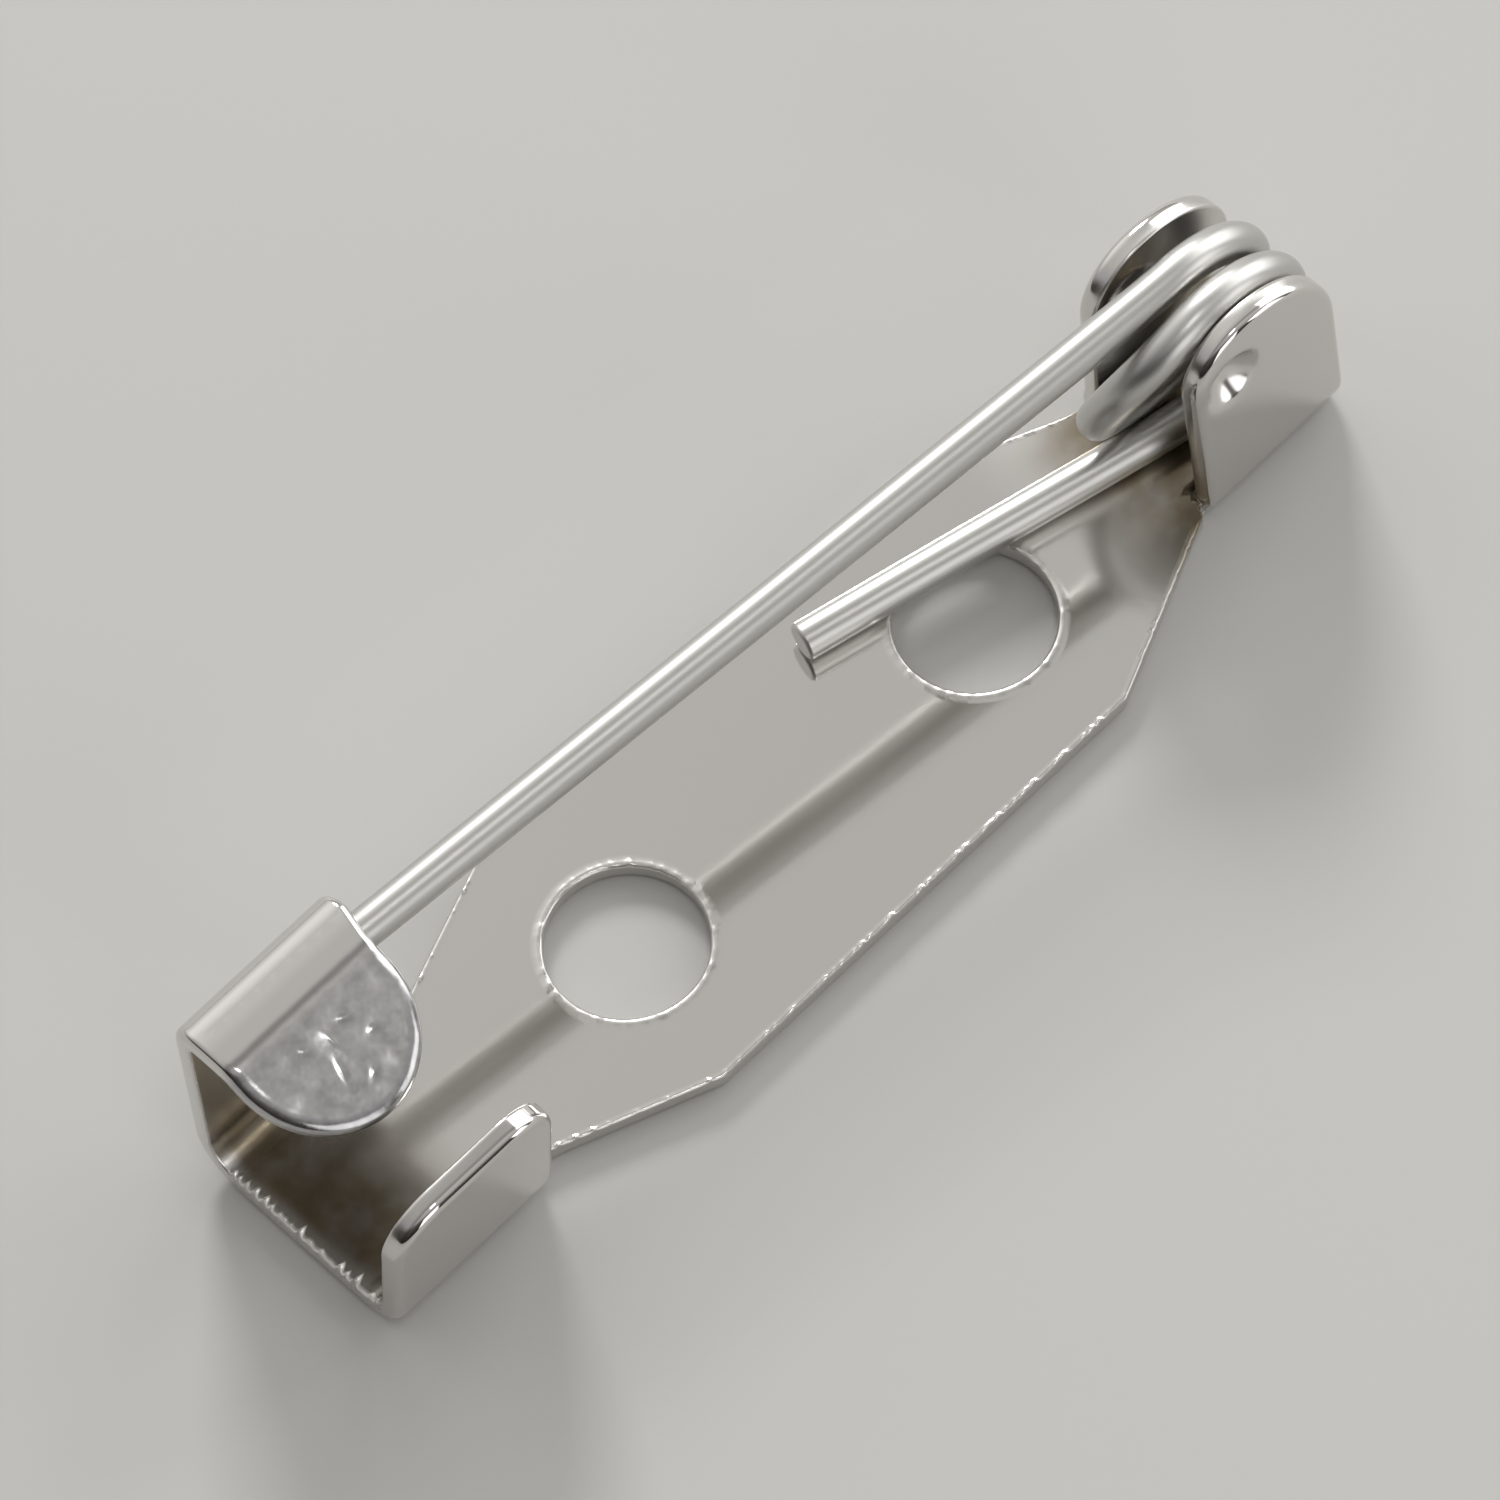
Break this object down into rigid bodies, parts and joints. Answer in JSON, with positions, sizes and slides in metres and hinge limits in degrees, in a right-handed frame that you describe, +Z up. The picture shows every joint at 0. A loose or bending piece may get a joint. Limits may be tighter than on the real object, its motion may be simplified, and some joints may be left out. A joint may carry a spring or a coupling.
{
  "type": "brooch pin finding",
  "caption": "Bar pin back for a brooch: a stamped sheet back with sewing holes, an open hook catch and ears that hold a coiled spring wire pin.",
  "frame": {"origin": "centre of the back on the underside of the plate", "axes": "+X from the hook to the hinge, +Y towards the hook's side, +Z up out of the plate's front"},
  "size_m": [0.02, 0.005, 0.0044],
  "materials": {
    "plated_sheet": "bright nickel plating on stamped sheet",
    "plated_wire": "bright nickel plating on drawn spring wire"
  },
  "bodies": {
    "back": {"back_plate": "plated_sheet"},
    "pin": {"pin_wire": "plated_wire"}
  },
  "joints": [
    {"name": "pin_swing", "type": "hinge", "parent": "back", "child": "pin", "pos_m": [0.00804, 0, 0.0025], "axis": [0, 1, 0], "range_deg": [0, 160], "deforming": ["pin_wire"]}
  ]
}
